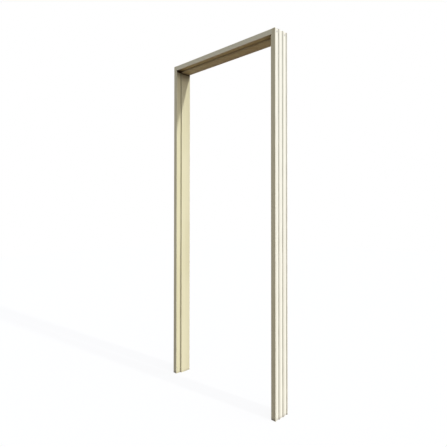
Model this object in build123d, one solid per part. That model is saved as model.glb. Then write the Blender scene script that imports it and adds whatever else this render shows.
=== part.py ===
from build123d import *
import os

# Composite door frame: two full-height jambs and a head, cut from one solid extruded section.
# X runs across the doorway, Y through the wall with the rebate side at -Y, and Z up from the floor.
# The origin is at floor level, midway between the jambs and in the middle of the section's depth.

# The frame, over its outer sides
frame_height = 2100.0
frame_width = 900.0

# The extruded section, in thickness from the wall side towards the doorway
section_depth = 106.0
front_thickness = 31.0
stop_step = 11.0
rebate_depth = 35.0
arris_radius = 2.0
rebate_corner_radius = 0.8

# The grooves that key the section's wall side to the wall, between lands that keep their width
groove_count = 3
edge_land = 7.0
groove_land = 10.0
groove_depth = 3.0
groove_flank_run = 1.0
groove_mouth_radius = 0.5
groove_floor_radius = 0.8

# The housings across the tops of the jambs take tongues on the head, with some play under the head.
# The tongues alone set the frame's width, so the ends of the head's stop stay clear of the jambs.
housing_depth = 6.0
housing_play = 1.5
stop_end_play = 1.0

# The countersunk wood screws that hold each end of the head
screw_length = 80.0
screw_diameter = 5.0
screw_head_diameter = 10.0
screw_point_length = 6.0
screw_sink = 0.5
recess_span = 5.2
recess_width = 1.3
recess_depth = 2.4
recess_taper = 8.0

# Clearances: the screw is loose in the jamb and grips the head, its cone seats face to face
jamb_hole_clearance = 0.3
head_hole_clearance = 0.05

# What follows from them
stop_thickness = front_thickness + stop_step
front_plane = -section_depth / 2
back_plane = section_depth / 2
step_plane = front_plane + rebate_depth
rebate_side = frame_width / 2 - front_thickness
housing_floor = rebate_side + housing_depth
head_length = 2 * housing_floor
groove_width = (section_depth - 2 * edge_land - (groove_count - 1) * groove_land) / groove_count
groove_pitch = groove_width + groove_land
screw_radius = screw_diameter / 2
screw_head_radius = screw_head_diameter / 2

# Past a face by this much, a cutter leaves no skin on it
overrun = 1.0


def vertices_at(section, points):
    """The section's vertices nearest to the given points."""
    return [min(section.vertices(), key=lambda v: (v.center() - Vector(*p)).length) for p in points]


def groove_centres():
    """The grooves' places through the depth, from front to back."""
    first = -groove_pitch * (groove_count - 1) / 2
    return [first + groove_pitch * number for number in range(groove_count)]


def groove_corners(centre):
    """A groove's two mouth corners and its two floor corners."""
    half_mouth = groove_width / 2
    half_floor = half_mouth - groove_flank_run
    mouth = [(0, centre - half_mouth), (0, centre + half_mouth)]
    floor = [(groove_depth, centre + half_floor), (groove_depth, centre - half_floor)]
    return mouth, floor


def frame_section():
    """The extruded section: x from the wall side towards the doorway, y from front to back."""
    wall_arrises = [(0, back_plane), (0, front_plane)]
    front_arris = (front_thickness, front_plane)
    rebate_corner = (front_thickness, step_plane)
    stop_arrises = [(stop_thickness, step_plane), (stop_thickness, back_plane)]
    outline = wall_arrises + [front_arris, rebate_corner] + stop_arrises
    section = Sketch() + make_face(Polyline(*outline, close=True))
    mouths = []
    floors = []
    for centre in groove_centres():
        mouth, floor = groove_corners(centre)
        section -= make_face(Polyline(*mouth, *floor, close=True))
        mouths += mouth
        floors += floor
    section = fillet(vertices_at(section, wall_arrises + [front_arris] + stop_arrises), arris_radius)
    section = fillet(vertices_at(section, [rebate_corner]), rebate_corner_radius)
    section = fillet(vertices_at(section, mouths), groove_mouth_radius)
    return fillet(vertices_at(section, floors), groove_floor_radius)


def screw_places():
    """Where the screws of one corner lie, in Y and Z: in the outer grooves, midway in the head's solid."""
    centres = groove_centres()
    solid_middle = (groove_depth + front_thickness) / 2
    return [(centre, frame_height - solid_middle) for centre in (centres[0], centres[-1])]


def on_right_corner(shape):
    """Copies of a shape at the right corner's screws, turned from Z to X, its origin at the screw's head."""
    head_top = frame_width / 2 - groove_depth - screw_sink
    planes = [Plane(origin=(head_top, y, z), z_dir=(1, 0, 0)) for y, z in screw_places()]
    return [plane * shape for plane in planes]


def screw_body(radius, clearance):
    """A screw's shank and point below its countersunk head, as a solid of revolution about Z."""
    tip = -(screw_length + clearance)
    shoulder = tip + screw_point_length
    rim = screw_head_radius
    cone_foot = radius - rim
    profile = [(0, 0), (rim, 0), (radius, cone_foot), (radius, shoulder), (0, tip)]
    return revolve(make_face(Plane.XZ * Polyline(*profile, close=True)), Axis.Z)


def corner_screw():
    """A countersunk wood screw with a cross recess, its head's top at the origin and its point down."""
    slot = extrude(Rectangle(recess_span, recess_width), -recess_depth, taper=recess_taper)
    return screw_body(screw_radius, 0) - slot - slot.rotate(Axis.Z, 90)


def jamb_hole():
    """The countersunk clearance hole through a jamb, open above the screw's head."""
    radius = screw_radius + jamb_hole_clearance
    mouth_height = screw_sink + overrun
    mouth = Pos(0, 0, mouth_height / 2) * Cylinder(screw_head_radius, mouth_height)
    return mouth + screw_body(radius, 0)


def head_hole():
    """The hole that the screw cuts in the head, along the screw's whole length."""
    return screw_body(screw_radius + head_hole_clearance, head_hole_clearance)


def top_cut(floor, head_thickness, front):
    """A square cut in the right jamb's top, out to a floor and back from a plane, to take the head."""
    mouth = frame_width / 2 - stop_thickness - overrun
    back = back_plane + overrun
    low = frame_height - head_thickness - housing_play
    high = frame_height + overrun
    cut = Box(floor - mouth, back - front, high - low)
    return Pos((mouth + floor) / 2, (front + back) / 2, (low + high) / 2) * cut


def right_jamb():
    """The right jamb: full height, housed for the head's tongue and with its stop cut off under the head."""
    section = mirror(frame_section(), about=Plane.YZ)
    jamb = extrude(Pos(frame_width / 2, 0, 0) * section, frame_height)
    jamb -= top_cut(housing_floor, front_thickness, front_plane - overrun)
    jamb -= top_cut(rebate_side + stop_end_play, stop_thickness, step_plane - rebate_corner_radius)
    for hole in on_right_corner(jamb_hole()):
        jamb -= hole
    return jamb


def stop_end():
    """What is cut off the right end of the head's stop, so that only the tongue enters the housing."""
    length = housing_depth + overrun
    thickness = stop_step + overrun
    cut = Box(length, section_depth + 2 * overrun, thickness)
    return Pos(rebate_side + length / 2, 0, frame_height - front_thickness - thickness / 2) * cut


def head():
    """The head: the same section on its side, with a tongue at each end and the screws' holes."""
    end = Plane(origin=(-head_length / 2, 0, frame_height), x_dir=(0, 0, -1), z_dir=(1, 0, 0))
    member = extrude(end * frame_section(), head_length)
    for cut in on_right_corner(head_hole()) + [stop_end()]:
        member -= cut
        member -= mirror(cut, about=Plane.YZ)
    return member


def corner_screws():
    """The screws of both corners."""
    right = on_right_corner(corner_screw())
    return Compound(right + [mirror(screw, about=Plane.YZ) for screw in right])


def write(shape, node):
    """One file per piece, with the piece's name."""
    export_step(shape, f"parts/{node}.step")


os.makedirs("parts", exist_ok=True)
jamb = right_jamb()
write(jamb, "right_jamb")
write(mirror(jamb, about=Plane.YZ), "left_jamb")
write(head(), "head")
write(corner_screws(), "corner_screws")
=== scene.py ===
import math

import bmesh
import bpy
from mathutils import Matrix, Vector


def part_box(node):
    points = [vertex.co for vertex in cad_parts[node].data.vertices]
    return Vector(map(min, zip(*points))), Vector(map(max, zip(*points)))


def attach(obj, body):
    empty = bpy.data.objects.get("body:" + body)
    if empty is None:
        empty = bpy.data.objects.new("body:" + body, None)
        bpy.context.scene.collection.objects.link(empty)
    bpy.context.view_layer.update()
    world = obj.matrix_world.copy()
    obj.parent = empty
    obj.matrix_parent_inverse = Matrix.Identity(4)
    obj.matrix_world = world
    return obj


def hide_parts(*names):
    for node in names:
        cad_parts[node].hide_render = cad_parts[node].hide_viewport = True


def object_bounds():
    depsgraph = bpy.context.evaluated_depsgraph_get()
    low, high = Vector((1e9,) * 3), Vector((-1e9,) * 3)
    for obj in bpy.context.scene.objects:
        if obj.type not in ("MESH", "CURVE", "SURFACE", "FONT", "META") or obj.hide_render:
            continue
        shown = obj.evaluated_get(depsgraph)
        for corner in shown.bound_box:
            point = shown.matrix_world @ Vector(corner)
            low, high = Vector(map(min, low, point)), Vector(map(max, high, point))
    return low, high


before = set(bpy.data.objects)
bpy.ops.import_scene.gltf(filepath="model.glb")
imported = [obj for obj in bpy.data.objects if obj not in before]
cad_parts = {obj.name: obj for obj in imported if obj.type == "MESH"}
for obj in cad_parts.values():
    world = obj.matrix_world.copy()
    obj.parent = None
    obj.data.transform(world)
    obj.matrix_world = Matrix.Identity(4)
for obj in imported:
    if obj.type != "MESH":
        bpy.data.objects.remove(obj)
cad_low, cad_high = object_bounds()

# The viewpoint. It is in front of the frame and to its right, a little above half its height, so that
# the rebate side of all three members and the grooved wall side of the right jamb are in view.
camera = bpy.data.objects.new("viewpoint", bpy.data.cameras.new("viewpoint"))
bpy.context.scene.collection.objects.link(camera)
camera.location = (1.8023, -1.7060, 1.1502)
camera_turn = math.radians(44.04)
camera_tilt = math.radians(0.8)
camera.rotation_euler = (math.pi / 2 + camera_tilt, 0, camera_turn)
camera.data.sensor_width = 36
camera.data.lens = 32.18
camera.data.shift_x = -0.0416
camera.data.shift_y = -0.0554
camera.data.clip_end = 60
bpy.context.scene.camera = camera


# The jambs. Each is one full-height length of a solid composite section, extruded with a rebate for
# the leaf and three grooves that key it to the wall. Its top is sawn out, and the head drops into it.
frame_height = cad_high.z
half_width = cad_high.x
jamb_low, jamb_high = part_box("right_jamb")
front_plane = jamb_low.y
back_plane = jamb_high.y
section_depth = back_plane - front_plane
stop_thickness = jamb_high.x - jamb_low.x
stop_step = 0.011
front_thickness = stop_thickness - stop_step
rebate_depth = 0.035
step_plane = front_plane + rebate_depth
arris_radius = 0.002
rebate_corner_radius = 0.0008
groove_count = 3
edge_land = 0.007
groove_land = 0.010
groove_depth = 0.003
groove_flank_run = 0.001
groove_mouth_radius = 0.0005
groove_floor_radius = 0.0008
groove_width = (section_depth - 2 * edge_land - (groove_count - 1) * groove_land) / groove_count
groove_pitch = groove_width + groove_land
arc_step = math.radians(12)


def groove_centres():
    """The grooves' places through the depth, from back to front."""
    first = groove_pitch * (groove_count - 1) / 2
    return [first - groove_pitch * number for number in range(groove_count)]


def section_corners():
    """The section's corners, anticlockwise, as thickness from the wall side, depth and radius."""
    corners = [
        (0, front_plane, arris_radius),
        (front_thickness, front_plane, arris_radius),
        (front_thickness, step_plane, rebate_corner_radius),
        (stop_thickness, step_plane, arris_radius),
        (stop_thickness, back_plane, arris_radius),
        (0, back_plane, arris_radius),
    ]
    for centre in groove_centres():
        mouth = groove_width / 2
        floor = mouth - groove_flank_run
        corners += [
            (0, centre + mouth, groove_mouth_radius),
            (groove_depth, centre + floor, groove_floor_radius),
            (groove_depth, centre - floor, groove_floor_radius),
            (0, centre - mouth, groove_mouth_radius),
        ]
    return corners


def rounded_outline(corners):
    """The outline through the corners, with each one turned by an arc of its radius."""
    points = []
    for before, here, after in zip(corners[-1:] + corners[:-1], corners, corners[1:] + corners[:1]):
        corner = Vector(here[:2])
        radius = here[2]
        into = (corner - Vector(before[:2])).normalized()
        out = (Vector(after[:2]) - corner).normalized()
        turn = math.atan2(into.cross(out), into.dot(out))
        start = corner - into * radius * math.tan(abs(turn) / 2)
        centre = start + Vector((-into.y, into.x)) * math.copysign(radius, turn)
        steps = math.ceil(abs(turn) / arc_step)
        for step in range(steps + 1):
            points.append(centre + Matrix.Rotation(turn * step / steps, 2) @ (start - centre))
    return points


def finished_mesh(name, form):
    """An object from a form, with its faces outwards and smooth."""
    bmesh.ops.recalc_face_normals(form, faces=form.faces)
    mesh = bpy.data.meshes.new(name)
    form.to_mesh(mesh)
    form.free()
    for face in mesh.polygons:
        face.use_smooth = True
    piece = bpy.data.objects.new(name, mesh)
    bpy.context.scene.collection.objects.link(piece)
    return piece


def extruded_length(name, start, end, at):
    """A member's plain length of the section, with at(thickness, depth, along) giving each point."""
    outline = rounded_outline(section_corners())
    form = bmesh.new()
    rings = []
    for along in (start, end):
        rings.append([form.verts.new(at(point.x, point.y, along)) for point in outline])
    for number in range(len(outline)):
        following = (number + 1) % len(outline)
        form.faces.new((rings[0][number], rings[0][following], rings[1][following], rings[1][number]))
    form.faces.new(rings[0])
    form.faces.new(rings[1])
    return finished_mesh(name, form)


saw_overrun = 0.001


def saw_block(low, high):
    """A block of what the saw takes out."""
    form = bmesh.new()
    middle = Matrix.Translation((Vector(low) + Vector(high)) / 2)
    size = Vector(high) - Vector(low)
    bmesh.ops.create_cube(form, size=1, matrix=middle @ Matrix.Diagonal((*size, 1)))
    return finished_mesh("saw_block", form)


housing_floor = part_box("head")[1].x
rebate_side = half_width - front_thickness
housing_play = 0.0015
stop_end_play = 0.001


def top_cut(side, floor, thickness, front):
    """What is sawn out of one jamb's top for a thickness of the head, out to a floor and back from a
    plane."""
    ends = sorted((side * (jamb_low.x - saw_overrun), side * floor))
    low = (ends[0], front, frame_height - thickness - housing_play)
    high = (ends[1], back_plane + saw_overrun, frame_height + saw_overrun)
    return saw_block(low, high)


screw_length = 0.080
screw_radius = 0.0025
screw_head_radius = 0.005
screw_point_length = 0.006
screw_sink = 0.0005
jamb_hole_clearance = 0.0003
turned_steps = 48


def turned(name, profile):
    """A piece turned about Z, from (radius, along) points that start and end on the axis."""
    form = bmesh.new()
    turns = [2 * math.pi * step / turned_steps for step in range(turned_steps)]
    rings = []
    for radius, along in profile:
        if radius == 0:
            rings.append([form.verts.new((0, 0, along))] * turned_steps)
            continue
        spots = [(radius * math.cos(turn), radius * math.sin(turn), along) for turn in turns]
        rings.append([form.verts.new(spot) for spot in spots])
    for above, below in zip(rings, rings[1:]):
        for step in range(turned_steps):
            after = (step + 1) % turned_steps
            corners = (above[step], above[after], below[after], below[step])
            form.faces.new(dict.fromkeys(corners))
    return finished_mesh(name, form)


def screw_places(side):
    """Where one corner's screws lie: the middle of each head's top, with Z out of the wall side."""
    head_top = half_width - groove_depth - screw_sink
    solid_middle = frame_height - (groove_depth + front_thickness) / 2
    turn = Matrix.Rotation(side * math.pi / 2, 4, "Y")
    depths = (groove_centres()[0], groove_centres()[-1])
    return [Matrix.Translation((side * head_top, depth, solid_middle)) @ turn for depth in depths]


def screw_hole(place, clearance, mouth):
    """The countersunk hole that a screw takes, with its mouth so far above the screw's head."""
    radius = screw_radius + clearance
    shoulder = screw_point_length - screw_length
    profile = [(0, mouth), (screw_head_radius, mouth), (screw_head_radius, 0)]
    profile += [(radius, radius - screw_head_radius), (radius, shoulder), (0, -screw_length)]
    hole = turned("screw_hole", profile)
    hole.data.transform(place)
    return hole


eased_edge = 0.00025
eased_steps = 2
eased_angle = math.radians(50)


def worked(piece, cutters):
    """Takes the cutters out of a piece, eases its sawn edges and sets its normals by its flat faces."""
    for cutter in cutters:
        cut = piece.modifiers.new("cut", "BOOLEAN")
        cut.operation = "DIFFERENCE"
        cut.solver = "EXACT"
        cut.object = cutter
    eased = piece.modifiers.new("eased", "BEVEL")
    eased.width = eased_edge
    eased.segments = eased_steps
    eased.limit_method = "ANGLE"
    eased.angle_limit = eased_angle
    eased.use_clamp_overlap = False
    piece.modifiers.new("normals", "WEIGHTED_NORMAL")
    bpy.context.view_layer.update()
    graph = bpy.context.evaluated_depsgraph_get()
    piece.data = bpy.data.meshes.new_from_object(piece.evaluated_get(graph))
    piece.modifiers.clear()
    for cutter in cutters:
        bpy.data.objects.remove(cutter)


def wired(tree, kind, sources, **settings):
    """A new node of a kind, with its settings, and its inputs set to values or linked to outputs."""
    made = tree.nodes.new(kind)
    for name, value in settings.items():
        setattr(made, name, value)
    for key, source in sources.items():
        if isinstance(source, bpy.types.NodeSocket):
            tree.links.new(source, made.inputs[key])
        else:
            made.inputs[key].default_value = source
    return made


def worked_out(tree, operation, *terms):
    """The output of a Math node on its terms."""
    return wired(tree, "ShaderNodeMath", dict(enumerate(terms)), operation=operation).outputs[0]


def combined(tree, operation, values):
    """Several values worked into one, from the first to the last."""
    total = values[0]
    for value in values[1:]:
        total = worked_out(tree, operation, total, value)
    return total


def midway(tree, first, second):
    """The mean of two values."""
    return worked_out(tree, "MULTIPLY_ADD", first, 0.5, worked_out(tree, "MULTIPLY", second, 0.5))


def ramp(tree, value, start, end, low=0.0, high=1.0):
    """A value taken smoothly from low at start to high at end."""
    sources = {"Value": value, "From Min": start, "From Max": end, "To Min": low, "To Max": high}
    mapped = wired(tree, "ShaderNodeMapRange", sources, interpolation_type="SMOOTHSTEP")
    return mapped.outputs["Result"]


def fading(tree, value, start, end, most=1.0):
    """A value taken smoothly from the most at start to nothing at end."""
    return ramp(tree, value, start, end, most, 0.0)


def by_mask(tree, mask, off, on):
    """A value that is off where a mask is 0 and on where it is 1."""
    return ramp(tree, mask, 0, 1, off, on)


# A Mix node has its own pair of inputs and its own output for colours.
mix_first_colour = 6
mix_second_colour = 7
mix_colour = 2


def blended(tree, share, first, second):
    """Two colours mixed by a share of the second."""
    mixed = wired(tree, "ShaderNodeMix", {0: share}, data_type="RGBA")
    for number, source in ((mix_first_colour, first), (mix_second_colour, second)):
        if isinstance(source, bpy.types.NodeSocket):
            tree.links.new(source, mixed.inputs[number])
        else:
            mixed.inputs[number].default_value = (*source, 1)
    return mixed.outputs[mix_colour]


def split(tree, place):
    """A vector's X, Y and Z."""
    return wired(tree, "ShaderNodeSeparateXYZ", {0: place}).outputs


def stretched(tree, place, scale):
    """A place with each axis multiplied by its own scale."""
    return wired(tree, "ShaderNodeVectorMath", {0: place, 1: scale}, operation="MULTIPLY").outputs[0]


def noise_at(tree, place, waves, detail=2.0, roughness=0.5):
    """Noise from 0 to 1 at a place, with so many waves to the metre along each axis."""
    vector = stretched(tree, place, waves)
    sources = {"Vector": vector, "Scale": 1.0, "Detail": detail, "Roughness": roughness}
    return wired(tree, "ShaderNodeTexNoise", sources).outputs[0]


def new_group(name, inputs, outputs):
    """An empty group with named inputs and outputs, and the sockets that stand for both inside it."""
    group = bpy.data.node_groups.new(name, "ShaderNodeTree")
    for way, sockets in (("INPUT", inputs), ("OUTPUT", outputs)):
        for socket, kind in sockets.items():
            group.interface.new_socket(socket, in_out=way, socket_type="NodeSocket" + kind)
    return group, group.nodes.new("NodeGroupInput").outputs, group.nodes.new("NodeGroupOutput").inputs


def grouped(tree, group, sources):
    """A use of a group in a tree, with its inputs set or linked."""
    return wired(tree, "ShaderNodeGroup", sources, node_tree=group).outputs


def die_lines_group():
    """Fine lines along the length, which the extrusion die leaves, and the slow drift in its colour."""
    varying = {"Tone": "Float", "Height": "Float"}
    group, given, put = new_group("die_lines", {"Place": "Vector"}, varying)
    fine_waves = (900, 900, 1.4)
    broad_waves = (130, 130, 0.5)
    drift_waves = (9, 9, 2.2)
    fine = noise_at(group, given["Place"], fine_waves, detail=3.0)
    lines = midway(group, fine, noise_at(group, given["Place"], broad_waves))
    tone = midway(group, noise_at(group, given["Place"], drift_waves), lines)
    group.links.new(tone, put["Tone"])
    group.links.new(lines, put["Height"])
    return group


def flour_flecks_group():
    """The few wood-flour flecks that show at the skin, drawn out along the length."""
    group, given, put = new_group("flour_flecks", {"Place": "Vector"}, {"Mask": "Float"})
    cells_a_metre = (640, 640, 230)
    bare_share = 0.72
    fleck_middle = 0.06
    fleck_rim = 0.34
    scaled = stretched(group, given["Place"], cells_a_metre)
    cells = wired(group, "ShaderNodeTexVoronoi", {"Vector": scaled, "Scale": 1.0}).outputs
    chance = wired(group, "ShaderNodeTexWhiteNoise", {"Vector": cells["Position"]}).outputs["Value"]
    few = ramp(group, chance, bare_share, 1.0)
    near = fading(group, cells["Distance"], fleck_middle, fleck_rim)
    group.links.new(worked_out(group, "MULTIPLY", near, few), put["Mask"])
    return group


def nearest_line(tree, across, lines):
    """The distance across the section to the nearest of some lines along the length."""
    distances = []
    for line in lines:
        ends = {0: across, 1: (*line, 0)}
        away = wired(tree, "ShaderNodeVectorMath", ends, operation="DISTANCE")
        distances.append(away.outputs["Value"])
    return combined(tree, "MINIMUM", distances)


def arris_wear_group():
    """Where handling has rubbed the arrises, in patches, by distance from them across the section."""
    sockets = {"Across": "Vector", "Place": "Vector"}
    group, given, put = new_group("arris_wear", sockets, {"Mask": "Float"})
    rubbed_width = (0.0009, 0.0030)
    patch_waves = (60, 60, 14)
    patch_levels = (0.44, 0.60)
    arrises = [corner[:2] for corner in section_corners() if corner[2] == arris_radius]
    near = fading(group, nearest_line(group, given["Across"], arrises), *rubbed_width)
    patches = noise_at(group, given["Place"], patch_waves, detail=4.0, roughness=0.7)
    worn = worked_out(group, "MULTIPLY", near, ramp(group, patches, *patch_levels))
    group.links.new(worn, put["Mask"])
    return group


uneven_levels = (0.25, 0.75)


def unevenly(tree, coat, place, waves, least):
    """A coat that noise thins here and there, down to the least share of it."""
    noise = noise_at(tree, place, waves, detail=3.0, roughness=0.6)
    return worked_out(tree, "MULTIPLY", coat, ramp(tree, noise, *uneven_levels, least, 1.0))


def corner_shade_group():
    """Painted shade in the grooves' floor corners, thinner beside them, and in the rebate's corner."""
    sockets = {"Across": "Vector", "Place": "Vector"}
    group, given, put = new_group("corner_shade", sockets, {"Mask": "Float"})
    in_corner = (0.0006, 0.0034)
    beside_corner = (0.0010, 0.0090)
    beside_share = 0.65
    in_rebate = (0.0010, 0.0100)
    rebate_share = 0.80
    corner_shade_waves = (90, 90, 10)
    least_corner_shade = 0.7
    floor_corners = [corner[:2] for corner in section_corners() if corner[0] == groove_depth]
    from_floor = nearest_line(group, given["Across"], floor_corners)
    from_rebate = nearest_line(group, given["Across"], [(front_thickness, step_plane)])
    near = fading(group, from_floor, *in_corner)
    beside = fading(group, from_floor, *beside_corner, beside_share)
    rebate = fading(group, from_rebate, *in_rebate, rebate_share)
    corner_shaded = combined(group, "MAXIMUM", (near, beside, rebate))
    group.links.new(unevenly(group, corner_shaded, given["Place"], corner_shade_waves, least_corner_shade), put["Mask"])
    return group


def wall_side_group():
    """The wall side: the lands, the grooves and their flanks, up to the middle of the arrises. It is
    painted paler, partly as a bare finish and partly as painted highlight for its sunlit face.
    """
    group, given, put = new_group("wall_side", {"Across": "Vector"}, {"Mask": "Float"})
    arris_start = 0.0015
    arris_end = 0.0003
    floor_start = 0.0001
    floor_end = 0.0005
    thickness, depth, _ = split(group, given["Across"])
    from_middle = worked_out(group, "ABSOLUTE", depth)
    inside = fading(group, from_middle, back_plane - arris_start, back_plane - arris_end)
    shallow = fading(group, thickness, groove_depth + floor_start, groove_depth + floor_end)
    group.links.new(worked_out(group, "MULTIPLY", inside, shallow), put["Mask"])
    return group


def land_shade_group():
    """Painted shade on the back flank of each groove and on the land behind it, fading away from the
    groove.
    """
    sockets = {"Across": "Vector", "Place": "Vector"}
    group, given, put = new_group("land_shades", sockets, {"Mask": "Float"})
    reaches = (0.020, 0.009, 0.009)
    land_shade_waves = (120, 120, 6)
    least_land_shade = 0.75
    depth = split(group, given["Across"])["Y"]
    shade_bands = []
    for centre, reach in zip(groove_centres(), reaches):
        behind = worked_out(group, "SUBTRACT", depth, centre + groove_width / 2)
        from_flank = ramp(group, behind, -groove_flank_run, -groove_flank_run / 2)
        shade_bands.append(worked_out(group, "MULTIPLY", from_flank, fading(group, behind, 0, reach)))
    shade_band = combined(group, "MAXIMUM", shade_bands)
    group.links.new(unevenly(group, shade_band, given["Place"], land_shade_waves, least_land_shade), put["Mask"])
    return group


def foot_darkening_group():
    """Darkening low on a jamb: a thin film on the front from hip height down, in blotches, and a thick
    edge at the foot.
    """
    sockets = {"Place": "Vector", "Facing": "Float"}
    group, given, put = new_group("foot_darkening", sockets, {"Mask": "Float"})
    front_facing = (-0.4, -0.9)
    film_top = 0.9
    film_share = 0.18
    blotch_waves = (34, 34, 18)
    blotch_levels = (0.30, 0.70)
    blotch_shares = (0.6, 1.4)
    edge_heights = (0.003, 0.018)
    edge_share_round = 0.32
    edge_share_front = 0.85
    patch_waves = (70, 70, 50)
    patch_levels = (0.36, 0.62)
    patch_shares = (0.45, 1.0)
    height = split(group, given["Place"])["Z"]
    front = ramp(group, given["Facing"], *front_facing)
    film = fading(group, height, 0.0, film_top, film_share)
    blotches = noise_at(group, given["Place"], blotch_waves, detail=4.0, roughness=0.65)
    blotching = ramp(group, blotches, *blotch_levels, *blotch_shares)
    blotched = combined(group, "MULTIPLY", (film, blotching, front))
    patches = noise_at(group, given["Place"], patch_waves, detail=4.0, roughness=0.65)
    patching = ramp(group, patches, *patch_levels, *patch_shares)
    edge_share = by_mask(group, front, edge_share_round, edge_share_front)
    edge = worked_out(group, "MULTIPLY", fading(group, height, *edge_heights, edge_share), patching)
    group.links.new(worked_out(group, "MAXIMUM", blotched, edge), put["Mask"])
    return group


def sawn_face_group():
    """A face that the saw has cut across the length: its mask, and its arcs and pores as height."""
    sockets = {"Place": "Vector", "Facing": "Float"}
    group, given, put = new_group("sawn_face", sockets, {"Mask": "Float", "Height": "Float"})
    end_facing = (0.72, 0.92)
    blade_centre = (0.0, 0.19)
    tooth_pitch = 0.0016
    arc_height = 0.15
    pores_a_metre = 1500.0
    pore_levels = (0.15, 0.45)
    mask = ramp(group, worked_out(group, "ABSOLUTE", given["Facing"]), *end_facing)
    across = stretched(group, given["Place"], (1, 1, 0))
    sweep = nearest_line(group, across, [blade_centre])
    arcs = worked_out(group, "SINE", worked_out(group, "MULTIPLY", sweep, 2 * math.pi / tooth_pitch))
    cells = wired(group, "ShaderNodeTexVoronoi", {"Vector": given["Place"], "Scale": pores_a_metre})
    pores = ramp(group, cells.outputs["Distance"], *pore_levels)
    group.links.new(mask, put["Mask"])
    group.links.new(worked_out(group, "MULTIPLY_ADD", arcs, arc_height, pores), put["Height"])
    return group


die_lines = die_lines_group()
flour_flecks = flour_flecks_group()
arris_wear = arris_wear_group()
corner_shade = corner_shade_group()
wall_side = wall_side_group()
land_shades = land_shade_group()
foot_darkening = foot_darkening_group()
sawn_face = sawn_face_group()

skin_cream = (0.780, 0.748, 0.520)
skin_shade = (0.722, 0.685, 0.456)
bare_and_sunlit_pale = (0.955, 0.955, 0.860)
land_shade_grey = (0.440, 0.430, 0.370)
fleck_tan = (0.420, 0.330, 0.190)
rubbed_pale = (0.860, 0.835, 0.690)
# A brown for the painted shade in the corners, and for the darkening on the stop.
shade_and_darkening_brown = (0.300, 0.265, 0.190)
sawn_cream = (0.700, 0.640, 0.440)
foot_brown = (0.190, 0.160, 0.125)
joint_shade_dark = (0.045, 0.022, 0.007)

tone_levels = (0.35, 0.65)
pale_share_at_foot = 0.88
land_shade_share = 0.38
fleck_share = 0.35
rubbed_share = 0.6
corner_shade_share = 0.7
sawn_share = 0.9


def coated(tree, colour, coat, mask, share):
    """A colour with a coat over it, by a share of a mask."""
    return blended(tree, worked_out(tree, "MULTIPLY", mask, share), colour, coat)


stop_margin = 0.001
back_darkening_start = 0.010
back_darkening_shares = (0.02, 0.14)


def jamb_darkening(tree, colour, thickness, y, place, facing):
    """A jamb's own darkening: a thin brown film on the stop, most at its back, and the darkening at the
    foot.
    """
    on_stop = ramp(tree, thickness, front_thickness + stop_margin, stop_thickness - stop_margin)
    towards_back = ramp(tree, y, step_plane + back_darkening_start, back_plane, *back_darkening_shares)
    colour = coated(tree, colour, shade_and_darkening_brown, on_stop, towards_back)
    blotched = grouped(tree, foot_darkening, {"Place": place, "Facing": facing["Y"]})
    return blended(tree, blotched["Mask"], colour, foot_brown)


satin_levels = (0.3, 0.7)
satin_roughness = (0.50, 0.60)
dull_roughness = 0.22
rubbed_gloss = 0.08
specular_level = 0.15
line_height = 0.00016
line_strength = 0.8
saw_mark_height = 0.00015
saw_mark_strength = 0.7


def bumped(tree, height, strength, distance, under=None):
    """A normal that follows a height, up to a distance in metres, over the normal under it."""
    sources = {"Height": height, "Strength": strength, "Distance": distance}
    if under is not None:
        sources["Normal"] = under
    return wired(tree, "ShaderNodeBump", sources).outputs[0]


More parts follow.
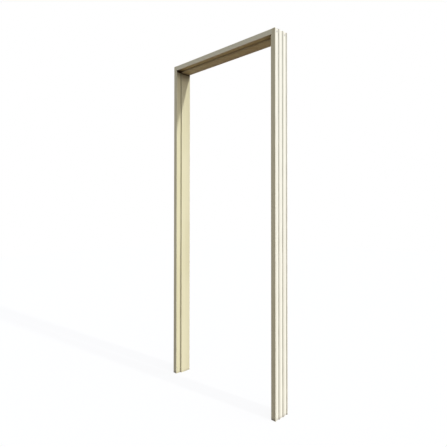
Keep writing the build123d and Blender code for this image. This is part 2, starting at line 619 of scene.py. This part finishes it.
def composite(name, colours, thickness_of, along, joint_shade_of):
    """The composite of members along one axis. thickness_of gives how deep a point lies in from the
    wall side, and joint_shade_of how much painted shade it has at the joint."""
    skin, shade, bare_and_sunlit = colours
    material = bpy.data.materials.new(name)
    material.use_nodes = True
    tree = material.node_tree
    surface = tree.nodes["Principled BSDF"]
    x, y, z = split(tree, wired(tree, "ShaderNodeTexCoord", {}).outputs["Object"])
    facing = split(tree, wired(tree, "ShaderNodeNewGeometry", {}).outputs["Normal"])
    thickness = thickness_of(tree, x, z)
    lengthwise, other = (z, x) if along == "Z" else (x, z)
    place = wired(tree, "ShaderNodeCombineXYZ", {0: other, 1: y, 2: lengthwise}).outputs[0]
    across = wired(tree, "ShaderNodeCombineXYZ", {0: thickness, 1: y}).outputs[0]
    lines = grouped(tree, die_lines, {"Place": place})
    flecks = grouped(tree, flour_flecks, {"Place": place})
    wear = grouped(tree, arris_wear, {"Across": across, "Place": place})
    corner_shaded = grouped(tree, corner_shade, {"Across": across, "Place": place})
    wall = grouped(tree, wall_side, {"Across": across})
    shade_bands = grouped(tree, land_shades, {"Across": across, "Place": place})
    sawn = grouped(tree, sawn_face, {"Place": place, "Facing": facing[along]})

    colour = blended(tree, ramp(tree, lines["Tone"], *tone_levels), shade, skin)
    # The wall side is paler: partly a bare finish and partly painted highlight for its sunlit face,
    # with more of it towards the top.
    paleness = ramp(tree, z, 0, frame_height, pale_share_at_foot, 1.0)
    colour = coated(tree, colour, bare_and_sunlit, wall["Mask"], paleness)
    # Painted shade behind each groove on the wall side.
    land_shaded = worked_out(tree, "MULTIPLY", shade_bands["Mask"], wall["Mask"])
    colour = coated(tree, colour, land_shade_grey, land_shaded, land_shade_share)
    colour = coated(tree, colour, fleck_tan, flecks["Mask"], fleck_share)
    colour = coated(tree, colour, rubbed_pale, wear["Mask"], rubbed_share)
    # Painted shade in the grooves' corners and in the rebate's corner.
    colour = coated(tree, colour, shade_and_darkening_brown, corner_shaded["Mask"], corner_shade_share)
    colour = coated(tree, colour, sawn_cream, sawn["Mask"], sawn_share)
    if along == "Z":
        colour = jamb_darkening(tree, colour, thickness, y, place, facing)
    # Painted shade at the joints under the head, near black in the corners.
    colour = blended(tree, joint_shade_of(tree, x, y, z), colour, joint_shade_dark)
    tree.links.new(colour, surface.inputs["Base Color"])

    satin = ramp(tree, lines["Tone"], *satin_levels, *satin_roughness)
    dull = combined(tree, "MAXIMUM", (sawn["Mask"], corner_shaded["Mask"], wall["Mask"]))
    rough = worked_out(tree, "MULTIPLY_ADD", dull, dull_roughness, satin)
    glossed = worked_out(tree, "MULTIPLY", wear["Mask"], rubbed_gloss)
    tree.links.new(worked_out(tree, "SUBTRACT", rough, glossed), surface.inputs["Roughness"])
    surface.inputs["Specular IOR Level"].default_value = specular_level

    lined = bumped(tree, lines["Height"], line_strength, line_height)
    saw_marks = worked_out(tree, "MULTIPLY", sawn["Height"], sawn["Mask"])
    marked = bumped(tree, saw_marks, saw_mark_strength, saw_mark_height, lined)
    tree.links.new(marked, surface.inputs["Normal"])
    return material


inner_margin = 0.0005


def in_from_jamb_side(tree, x, z):
    """How deep a point of a jamb lies in from its wall side."""
    return worked_out(tree, "SUBTRACT", half_width, worked_out(tree, "ABSOLUTE", x))


def jamb_joint_shade(tree, x, y, z):
    """Painted shade just below the saw cuts under the head: a dark core and a soft halo."""
    step_blur = 0.0004
    core_in_rebate = 0.007
    core_on_stop = 0.002
    core_end = 0.016
    halo_reach = (-0.005, 0.065)
    halo_share = 0.62
    rebate_top = frame_height - front_thickness - housing_play
    stop_top = frame_height - stop_thickness - housing_play
    thickness = in_from_jamb_side(tree, x, z)
    inner = worked_out(tree, "GREATER_THAN", thickness, front_thickness - inner_margin)
    behind = ramp(tree, y, step_plane - step_blur, step_plane + step_blur)
    below = worked_out(tree, "SUBTRACT", by_mask(tree, behind, rebate_top, stop_top), z)
    core_start = by_mask(tree, behind, core_in_rebate, core_on_stop)
    core = fading(tree, below, core_start, core_end)
    halo = fading(tree, below, *halo_reach, halo_share)
    return worked_out(tree, "MULTIPLY", worked_out(tree, "MAXIMUM", core, halo), inner)


jamb_colours = (skin_cream, skin_shade, bare_and_sunlit_pale)
jamb_composite = composite("composite_upright", jamb_colours, in_from_jamb_side, "Z", jamb_joint_shade)


def standing(side):
    """How one jamb's section stands on the floor, with its wall side outwards."""
    return lambda thickness, depth, along: (side * (half_width - thickness), depth, along)


stop_front = step_plane - rebate_corner_radius
hole_mouth = screw_sink + saw_overrun
for side, name, node in ((1, "jamb_right", "right_jamb"), (-1, "jamb_left", "left_jamb")):
    jamb = extruded_length(name, 0, frame_height, standing(side))
    housing = top_cut(side, housing_floor, front_thickness, front_plane - saw_overrun)
    stop_cut = top_cut(side, rebate_side + stop_end_play, stop_thickness, stop_front)
    holes = [screw_hole(place, jamb_hole_clearance, hole_mouth) for place in screw_places(side)]
    worked(jamb, [housing, stop_cut] + holes)
    jamb.data.materials.append(jamb_composite)
    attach(jamb, "root")
    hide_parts(node)


# The head. It is the same section on its side, and a tongue at each end drops into a jamb's housing.
# Its stop is sawn off short of the tongues, so that it clears the jambs.
head_hole_clearance = 0.00005
head_cream = (0.865, 0.850, 0.635)
head_shade = (0.810, 0.785, 0.570)
# The head's wall side is its top. Its pale colour is partly painted highlight too.
head_bare_and_sunlit = (0.860, 0.845, 0.710)


def stop_end(side):
    """What is sawn off one end of the head's stop."""
    ends = sorted((side * rebate_side, side * (housing_floor + saw_overrun)))
    low = (ends[0], front_plane - saw_overrun, frame_height - stop_thickness - saw_overrun)
    high = (ends[1], back_plane + saw_overrun, frame_height - front_thickness)
    return saw_block(low, high)


def down_from_head_top(tree, x, z):
    """How deep a point of the head lies down from its top."""
    return worked_out(tree, "SUBTRACT", frame_height, z)


def head_joint_shade(tree, x, y, z):
    """Painted shade under the head: in its corners, most in the rebate's left one, and thin towards the
    back.
    """
    core_start = 0.0040
    core_end = 0.018
    core_end_worst = 0.060
    core_share = 0.85
    halo_reach = (-0.020, 0.090)
    halo_share = 0.3
    film_share = 0.14
    thickness = down_from_head_top(tree, x, z)
    under = worked_out(tree, "GREATER_THAN", thickness, front_thickness - inner_margin)
    from_corner = worked_out(tree, "SUBTRACT", rebate_side, worked_out(tree, "ABSOLUTE", x))
    in_rebate = worked_out(tree, "LESS_THAN", y, step_plane)
    worst = worked_out(tree, "MULTIPLY", worked_out(tree, "LESS_THAN", x, 0), in_rebate)
    core_reach = by_mask(tree, worst, core_end, core_end_worst)
    core = fading(tree, from_corner, core_start, core_reach, core_share)
    halo = fading(tree, from_corner, *halo_reach, halo_share)
    film = ramp(tree, y, 0.0, back_plane, 0.0, film_share)
    return worked_out(tree, "MULTIPLY", combined(tree, "MAXIMUM", (core, halo, film)), under)


def on_its_side(thickness, depth, along):
    """A point of the head's section, turned with its wall side up."""
    return (along, depth, frame_height - thickness)


head = extruded_length("head_member", -housing_floor, housing_floor, on_its_side)
cutters = [stop_end(1), stop_end(-1)]
for place in screw_places(1) + screw_places(-1):
    cutters.append(screw_hole(place, head_hole_clearance, screw_sink))
worked(head, cutters)
head_colours = (head_cream, head_shade, head_bare_and_sunlit)
head_composite = composite("composite_across", head_colours, down_from_head_top, "X", head_joint_shade)
head.data.materials.append(head_composite)
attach(head, "root")
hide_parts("head")


# The corner screws. Four zinc-plated countersunk wood screws, two at each corner, driven through the
# floors of the jamb's outer grooves into the head's ends. Each has a cross recess and a rolled thread.
recess_span = 0.0052
recess_width = 0.0013
recess_depth = 0.0024
recess_taper = math.radians(8)
recess_overrun = 0.00015
rim_land = 0.00015
thread_start = 0.026
thread_run_in = 0.003
thread_pitch = 0.0028
thread_cut = 0.0008
thread_sharpness = 3
rings_a_pitch = 12
ring_steps = 24


def threaded_radius(turn, along):
    """The screw's radius at an angle, by the distance along it below its head's top."""
    envelope = screw_radius * min(1, (screw_length - along) / screw_point_length)
    run_in = min(1, max(0, (along - thread_start) / thread_run_in))
    phase = (along / thread_pitch - turn / (2 * math.pi)) % 1
    valley = 1 - abs(2 * phase - 1) ** thread_sharpness
    return envelope * (1 - thread_cut / screw_radius * run_in * valley)


def screw_ring(along):
    """The angles and radii of the screw's ring at a distance along it."""
    turns = [2 * math.pi * step / ring_steps for step in range(ring_steps)]
    cone_foot = screw_head_radius - screw_radius
    if along < cone_foot:
        rim = screw_head_radius - max(along, rim_land - along)
        return [(turn, rim) for turn in turns]
    return [(turn, threaded_radius(turn, along)) for turn in turns]


def screw_form():
    """One screw about Z, with the top of its flat head at the origin and its point down."""
    run = screw_length - thread_start
    rings_below = math.ceil(run / thread_pitch * rings_a_pitch)
    alongs = [0, rim_land, screw_head_radius - screw_radius]
    alongs += [thread_start + run * number / rings_below for number in range(rings_below)]
    form = bmesh.new()
    rows = []
    for along in alongs:
        spots = [(r * math.cos(turn), r * math.sin(turn), -along) for turn, r in screw_ring(along)]
        rows.append([form.verts.new(spot) for spot in spots])
    rows.append([form.verts.new((0, 0, -screw_length))] * ring_steps)
    form.faces.new(rows[0])
    for above, below in zip(rows, rows[1:]):
        for step in range(ring_steps):
            after = (step + 1) % ring_steps
            form.faces.new(dict.fromkeys((above[step], above[after], below[after], below[step])))
    return finished_mesh("screw", form)


def recess_slot(turn):
    """One of the two tapered slots that make the cross recess."""
    quarters = ((1, 1), (-1, 1), (-1, -1), (1, -1))
    form = bmesh.new()
    rows = []
    for down in (-recess_overrun, recess_depth):
        inset = down * math.tan(recess_taper)
        x = recess_span / 2 - inset
        y = recess_width / 2 - inset
        rows.append([form.verts.new((across * x, up * y, -down)) for across, up in quarters])
    for step in range(len(quarters)):
        after = (step + 1) % len(quarters)
        form.faces.new((rows[0][step], rows[0][after], rows[1][after], rows[1][step]))
    form.faces.new(rows[0])
    form.faces.new(rows[1])
    slot = finished_mesh("recess_slot", form)
    slot.data.transform(Matrix.Rotation(turn, 4, "Z"))
    return slot


def recessed_screw():
    """The mesh of one finished screw."""
    screw = screw_form()
    slots = [recess_slot(0), recess_slot(math.pi / 2)]
    for slot in slots:
        cut = screw.modifiers.new("recess", "BOOLEAN")
        cut.operation = "DIFFERENCE"
        cut.solver = "EXACT"
        cut.object = slot
    bpy.context.view_layer.update()
    graph = bpy.context.evaluated_depsgraph_get()
    mesh = bpy.data.meshes.new_from_object(screw.evaluated_get(graph))
    for spent in slots + [screw]:
        bpy.data.objects.remove(spent)
    return mesh


zinc_grey = (0.66, 0.67, 0.67)
zinc_bright = (0.84, 0.84, 0.81)
zinc_roughness = (0.28, 0.45)


def zinc_plate():
    """Bright zinc plating, a little uneven and clouded."""
    cloud_waves = (500, 500, 500)
    colour_levels = (0.35, 0.7)
    roughness_levels = (0.3, 0.7)
    grain_waves = (4000, 4000, 4000)
    grain_height = 0.00003
    grain_strength = 0.3
    material = bpy.data.materials.new("zinc_plate")
    material.use_nodes = True
    tree = material.node_tree
    surface = tree.nodes["Principled BSDF"]
    place = wired(tree, "ShaderNodeTexCoord", {}).outputs["Object"]
    clouds = noise_at(tree, place, cloud_waves, detail=3.0)
    colour = blended(tree, ramp(tree, clouds, *colour_levels), zinc_grey, zinc_bright)
    tree.links.new(colour, surface.inputs["Base Color"])
    clouded = ramp(tree, clouds, *roughness_levels, *zinc_roughness)
    tree.links.new(clouded, surface.inputs["Roughness"])
    surface.inputs["Metallic"].default_value = 1
    grained = bumped(tree, noise_at(tree, place, grain_waves), grain_strength, grain_height)
    tree.links.new(grained, surface.inputs["Normal"])
    return material


crease_angle = math.radians(35)

one_screw = recessed_screw()
form = bmesh.new()
for place in screw_places(1) + screw_places(-1):
    placed = one_screw.copy()
    placed.transform(place)
    form.from_mesh(placed)
    bpy.data.meshes.remove(placed)
bpy.data.meshes.remove(one_screw)
screws = finished_mesh("cross_head_screws", form)
screws.data.set_sharp_from_angle(angle=crease_angle)
screws.data.materials.append(zinc_plate())
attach(screws, "root")
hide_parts("corner_screws")


# The floor. A pale, plain studio floor that runs out of sight and keeps the frame's shadow. Light that
# it throws back up is low and warm.
floor_size = 16
floor_shadow_share = 0.12
floor_grey = (0.9, 0.9, 0.9, 1)
bounce_brown = (0.126, 0.066, 0.022, 1)


def seen_direct(tree):
    """1 for what the camera sees, straight or mirrored, and 0 for light on its way."""
    path = wired(tree, "ShaderNodeLightPath", {}).outputs
    rays = (path["Is Camera Ray"], path["Is Glossy Ray"], path["Is Transmission Ray"])
    return combined(tree, "MAXIMUM", rays)


form = bmesh.new()
bmesh.ops.create_grid(form, x_segments=1, y_segments=1, size=floor_size / 2)
floor = finished_mesh("floor", form)
floor_paint = bpy.data.materials.new("floor_paint")
floor_paint.use_nodes = True
tree = floor_paint.node_tree
tree.nodes.clear()
white = wired(tree, "ShaderNodeEmission", {}).outputs[0]
lit = wired(tree, "ShaderNodeBsdfDiffuse", {"Color": floor_grey}).outputs[0]
seen = wired(tree, "ShaderNodeMixShader", {0: floor_shadow_share, 1: white, 2: lit}).outputs[0]
bounce = wired(tree, "ShaderNodeBsdfDiffuse", {"Color": bounce_brown}).outputs[0]
both = wired(tree, "ShaderNodeMixShader", {0: seen_direct(tree), 1: bounce, 2: seen}).outputs[0]
wired(tree, "ShaderNodeOutputMaterial", {"Surface": both})
floor.data.materials.append(floor_paint)


# The light. Soft light from all round, stronger from above and from both sides of the frame, and one
# lamp to its right and above. It leaves the front in shade and throws the head's shadow down the jamb.
sky_low = 0.16
sky_climb = 0.38
sky_right = 3.35
sky_left = 1.85
horizon_fade = 0.05
sky_warm_from = 0.9
sky_cool = (0.83, 0.96, 1.31)
sky_warm = (1.08, 1.025, 0.97)
background_white = (1, 1, 1, 1)
lamp_power = 1.92
lamp_colour = (0.97, 0.985, 0.97)
lamp_spread = math.radians(2)
lamp_from = Vector((1, 0.14, 0.52))

world = bpy.data.worlds.new("studio")
bpy.context.scene.world = world
world.use_nodes = True
tree = world.node_tree
tree.nodes.clear()
towards = split(tree, wired(tree, "ShaderNodeTexCoord", {}).outputs["Generated"])
climbing = worked_out(tree, "MULTIPLY_ADD", towards["Z"], sky_climb, sky_low)
above = worked_out(tree, "MULTIPLY", climbing, ramp(tree, towards["Z"], -horizon_fade, 0.0))
from_right = worked_out(tree, "MULTIPLY", towards["X"], sky_right)
from_left = worked_out(tree, "MULTIPLY", towards["X"], -sky_left)
from_side = worked_out(tree, "MAXIMUM", from_right, from_left)
strength = worked_out(tree, "MULTIPLY", above, worked_out(tree, "ADD", from_side, 1.0))
sideways = worked_out(tree, "ABSOLUTE", towards["X"])
sky = blended(tree, ramp(tree, sideways, 0.0, sky_warm_from), sky_cool, sky_warm)
soft = wired(tree, "ShaderNodeBackground", {"Color": sky, "Strength": strength}).outputs[0]
plain = wired(tree, "ShaderNodeBackground", {"Color": background_white}).outputs[0]
both = wired(tree, "ShaderNodeMixShader", {0: seen_direct(tree), 1: soft, 2: plain}).outputs[0]
wired(tree, "ShaderNodeOutputWorld", {"Surface": both})

lamp = bpy.data.objects.new("lamp", bpy.data.lights.new("lamp", "SUN"))
bpy.context.scene.collection.objects.link(lamp)
lamp.data.energy = lamp_power
lamp.data.angle = lamp_spread
lamp.data.color = lamp_colour
lamp.rotation_euler = lamp_from.to_track_quat("Z", "Y").to_euler()

bpy.context.scene.view_settings.view_transform = "Standard"
